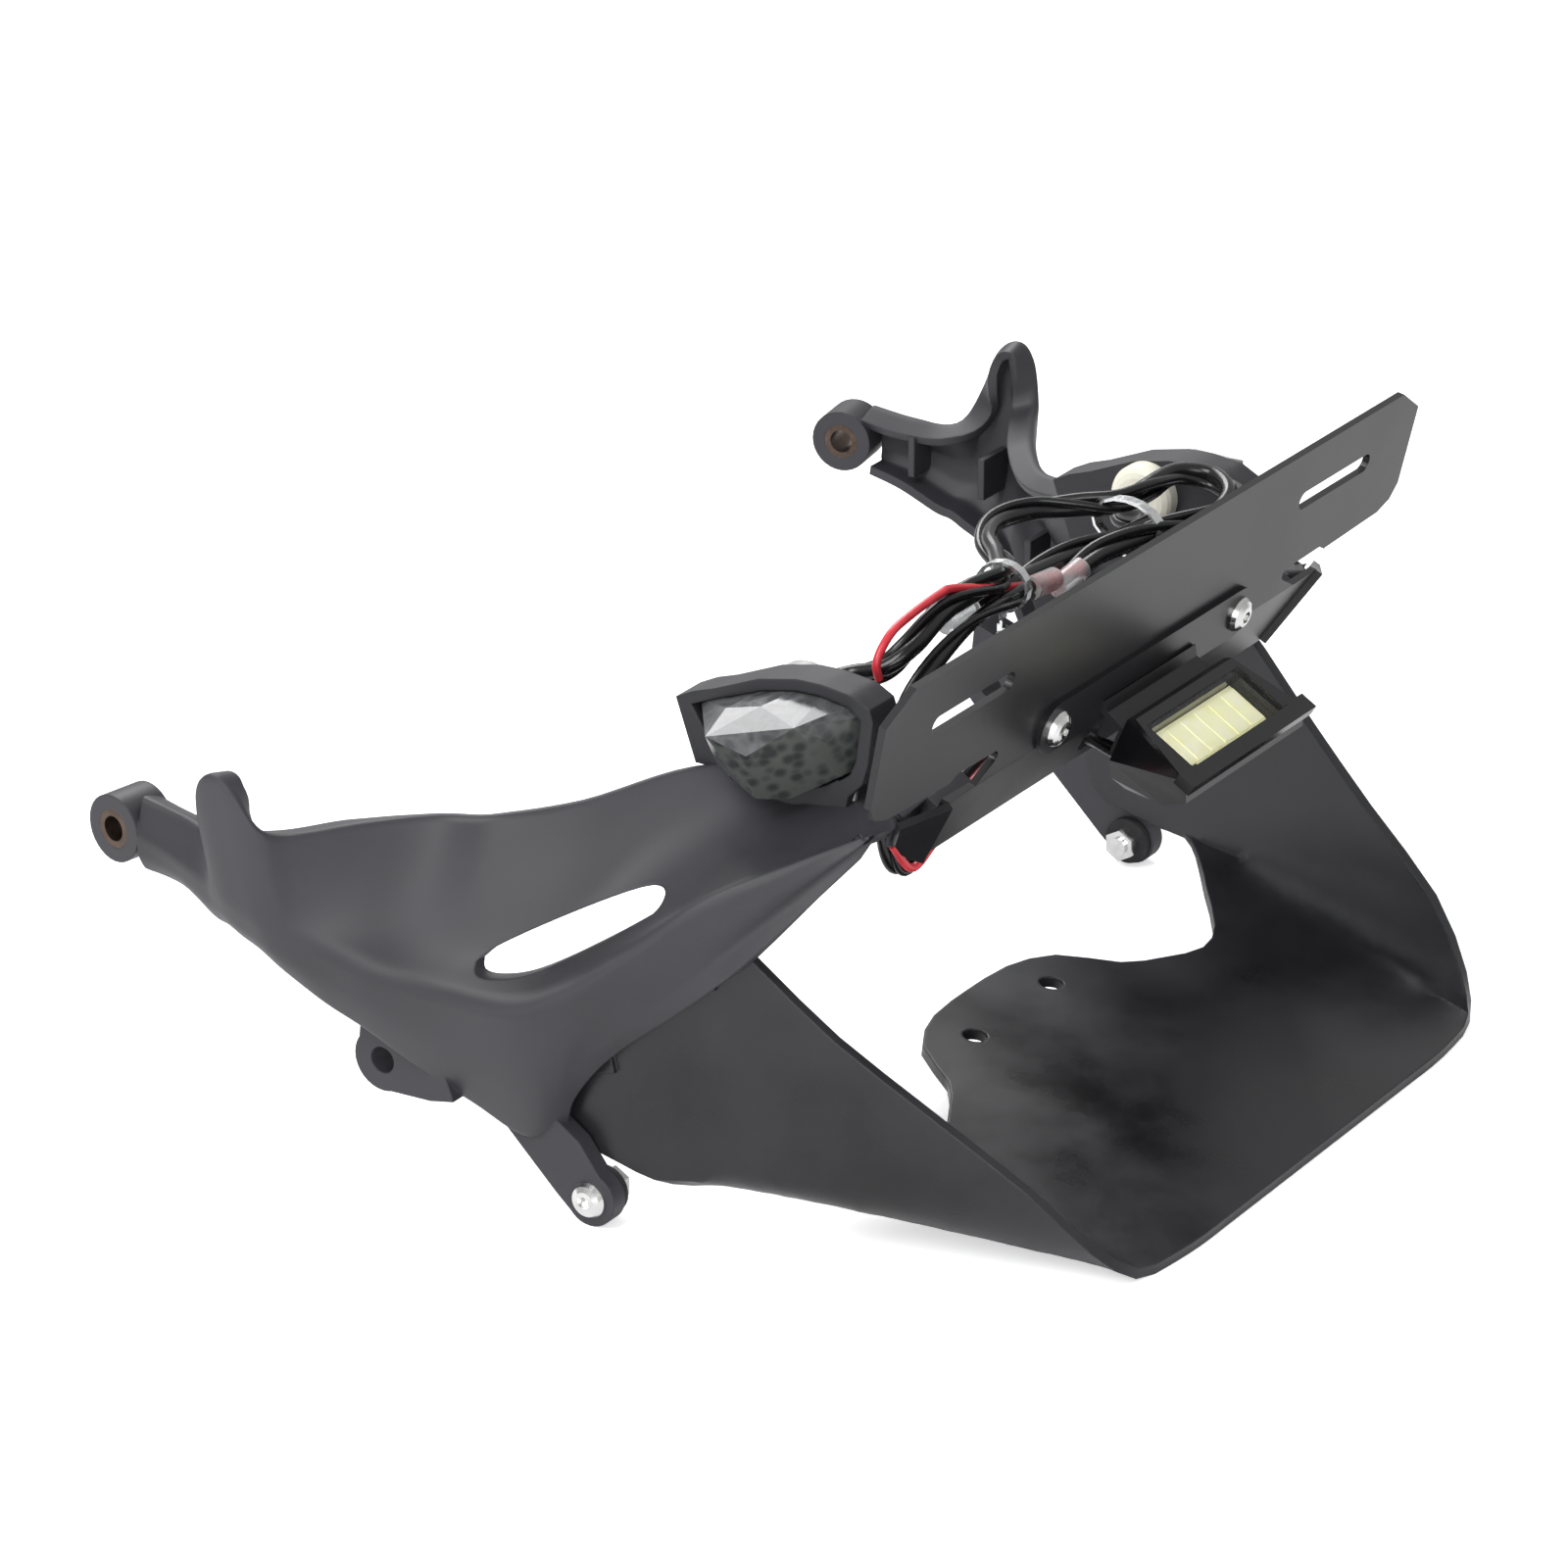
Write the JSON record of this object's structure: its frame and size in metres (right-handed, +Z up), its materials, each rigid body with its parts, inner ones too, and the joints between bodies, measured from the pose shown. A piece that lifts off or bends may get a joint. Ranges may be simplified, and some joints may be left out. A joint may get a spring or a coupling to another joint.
{
  "type": "tail tidy",
  "caption": "Rear licence-plate carrier for a motorbike: moulded side arms and tray, slotted plate bracket, flush indicators and a licence lamp.",
  "frame": {"origin": "centre of the footprint, on the table it lies on", "axes": "+X across the bike, +Y towards the front eyes, +Z up as it lies; the symmetry plane is X = 0 apart from the leads"},
  "size_m": [0.3728, 0.2577, 0.1583],
  "materials": {
    "moulded_plastic": "fine-grained moulded plastic, satin",
    "coated_sheet": "semi-gloss black powder coat",
    "bronze_collar": "dull oiled bronze",
    "stainless": "bright stainless steel",
    "zinc": "zinc plated",
    "black_rubber": "matte rubber",
    "smoked_lens": "smoked clear plastic, glossy",
    "indicator_board": "white board with pale yellow chips",
    "pale_cap": "pale cream plastic, semi-gloss",
    "gloss_black": "glossy black",
    "light_strip": "yellowish-white light chips",
    "clear_lens": "clear plastic, glossy",
    "black_cable": "soft semi-gloss cable sheath",
    "red_wire": "soft semi-gloss wire sheath",
    "clear_sleeve": "clear soft plastic",
    "silver_tie": "bright metallic foil"
  },
  "bodies": {
    "root": {"left_arm": "moulded_plastic", "right_arm": "moulded_plastic", "tray": "moulded_plastic", "plate_bracket": "coated_sheet", "eye_collars": "bronze_collar", "foot_screws": "stainless", "foot_spacers": "black_rubber", "foot_nuts": "stainless", "tray_screws": "zinc", "bracket_studs": "zinc", "bracket_nuts": "zinc", "left_pod": "moulded_plastic", "right_pod": "moulded_plastic", "pod_screws": "zinc", "left_lens": "smoked_lens", "right_lens": "smoked_lens", "left_light_board": "indicator_board", "right_light_board": "indicator_board", "left_cap": "pale_cap", "right_cap": "pale_cap", "lamp_bracket": "coated_sheet", "lamp_housing": "gloss_black", "lamp_board": "light_strip", "lamp_lens": "clear_lens", "lamp_screws": "stainless", "lamp_nuts": "stainless", "lamp_grommet": "black_rubber", "lamp_lead": "black_cable", "left_lead": "black_cable", "right_lead": "black_cable", "red_wires": "red_wire", "connector_sleeves": "clear_sleeve", "ties": "silver_tie"}
  },
  "joints": []
}
